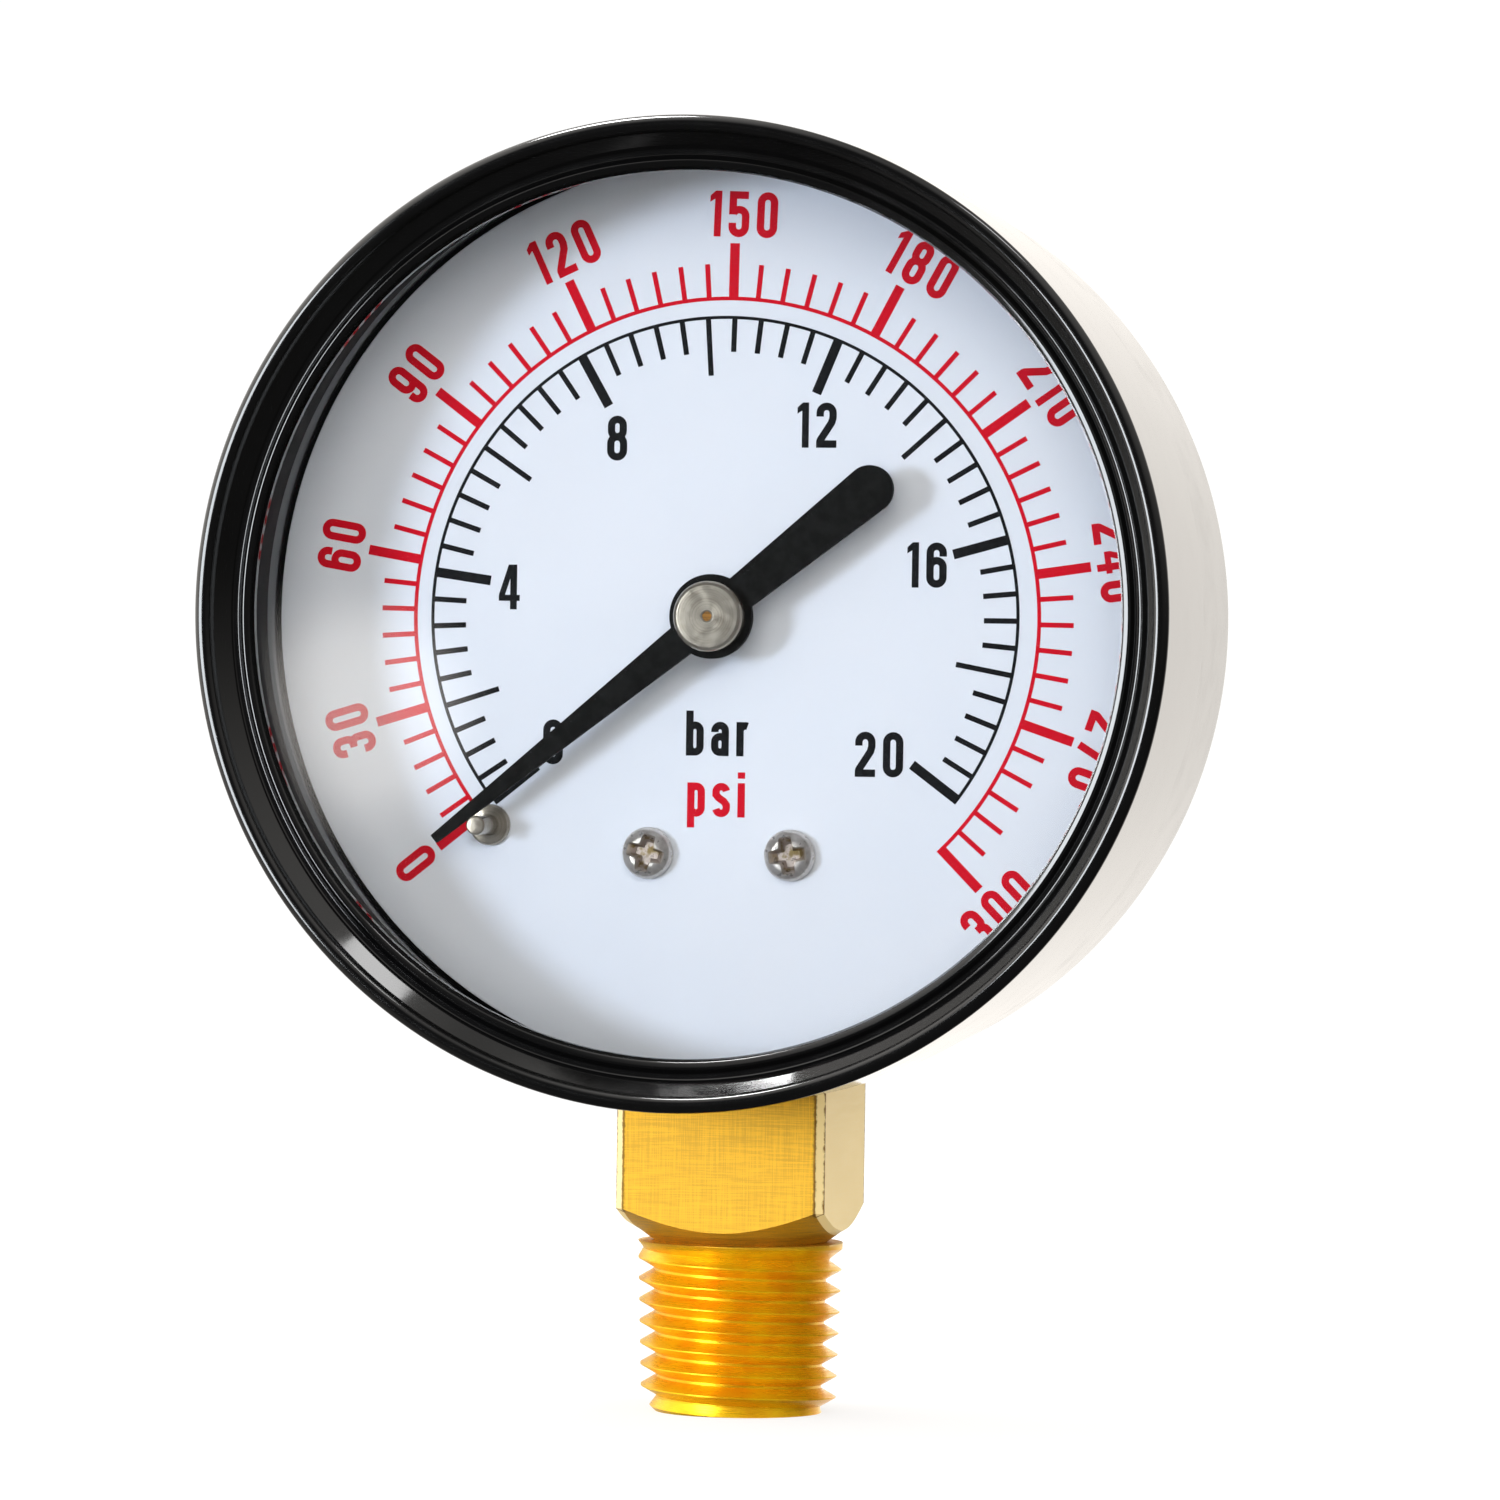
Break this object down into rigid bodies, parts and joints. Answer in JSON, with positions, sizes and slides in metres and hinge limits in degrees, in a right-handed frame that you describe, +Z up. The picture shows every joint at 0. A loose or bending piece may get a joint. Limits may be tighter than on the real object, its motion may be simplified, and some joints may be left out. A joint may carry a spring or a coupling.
{
  "type": "pressure gauge",
  "caption": "Round dial pressure gauge with a bottom threaded stem, steel case and bezel, dual-scale dial, pointer and full Bourdon tube movement.",
  "frame": {"origin": "middle of the stem's bottom end face, on the stem's axis", "axes": "+Z up along the stem, -Y the way the dial faces, +X to the dial's right"},
  "size_m": [0.0636, 0.0327, 0.0844],
  "materials": {
    "brass_stem": "machined brass: turned thread, milled square with fine cross-hatched cutter marks",
    "movement_brass": "stamped and turned brass, satin",
    "bronze": "phosphor bronze tube and spring strip, satin",
    "steel": "turned steel, fine brushed",
    "nickel": "nickel-plated, warm, with fine turning marks and slight tarnish in recesses",
    "case_black": "gloss black enamel on drawn steel",
    "bezel_black": "gloss black enamel on pressed steel",
    "pointer_black": "satin black paint on aluminium",
    "dial_white": "cool white enamel dial with red outer and black inner scale",
    "window_clear": "clear flat window",
    "rubber": "matt black rubber"
  },
  "bodies": {
    "gauge": {"socket": "brass_stem", "case": "case_black", "blow_out_plug": "rubber", "bezel": "bezel_black", "window_gasket": "rubber", "window": "window_clear", "dial": "dial_white", "dial_screw_left": "nickel", "dial_screw_right": "nickel", "dial_spacer_left": "movement_brass", "dial_spacer_right": "movement_brass", "stop_pin": "nickel", "bourdon_tube": "bronze", "hairspring": "bronze", "hairspring_stud": "movement_brass", "front_plate": "movement_brass", "rear_plate": "movement_brass", "movement_screw_left": "nickel", "movement_screw_right": "nickel", "case_screw_left": "nickel", "case_screw_right": "nickel", "pillar_left_upper": "movement_brass", "plate_screw_left_upper": "nickel", "pillar_right_upper": "movement_brass", "plate_screw_right_upper": "nickel", "pillar_left_lower": "movement_brass", "plate_screw_left_lower": "nickel"},
    "pointer_body": {"pointer": "pointer_black", "pointer_hub": "nickel", "pinion_arbor": "movement_brass", "hairspring_collet": "movement_brass"},
    "sector_body": {"sector_gear": "movement_brass", "sector_arbor": "steel", "link_screw": "steel"},
    "tip_body": {"tube_tip": "movement_brass", "tip_pin": "steel"},
    "link_body": {"link": "steel"}
  },
  "joints": [
    {"name": "pointer_spin", "type": "hinge", "parent": "gauge", "child": "pointer_body", "pos_m": [0, -0.008, 0.0526], "axis": [0, 1, 0], "range_deg": [0, 268], "stiffness_Nm_per_rad": 0.001, "springref_deg": -20.05, "deforming": ["hairspring"]},
    {"name": "sector_pivot", "type": "hinge", "parent": "gauge", "child": "sector_body", "pos_m": [0.0045, -0.008, 0.03961], "axis": [0, 1, 0], "range_deg": [-27, 0]},
    {"name": "tube_flex", "type": "hinge", "parent": "gauge", "child": "tip_body", "pos_m": [-0.00268, -0.008, 0.05941], "axis": [0, 1, 0], "range_deg": [-5.6, 0], "deforming": ["bourdon_tube"]},
    {"name": "link_pivot", "type": "hinge", "parent": "tip_body", "child": "link_body", "pos_m": [0.01278, -0.008, 0.04088], "axis": [0, 1, 0], "range_deg": [0, 5.5]}
  ],
  "couplings": [
    {"joint": "sector_pivot", "follows": "pointer_spin", "ratio": -0.1},
    {"joint": "tube_flex", "follows": "pointer_spin", "ratio": -0.020549},
    {"joint": "link_pivot", "follows": "pointer_spin", "ratio": 0.020075}
  ]
}
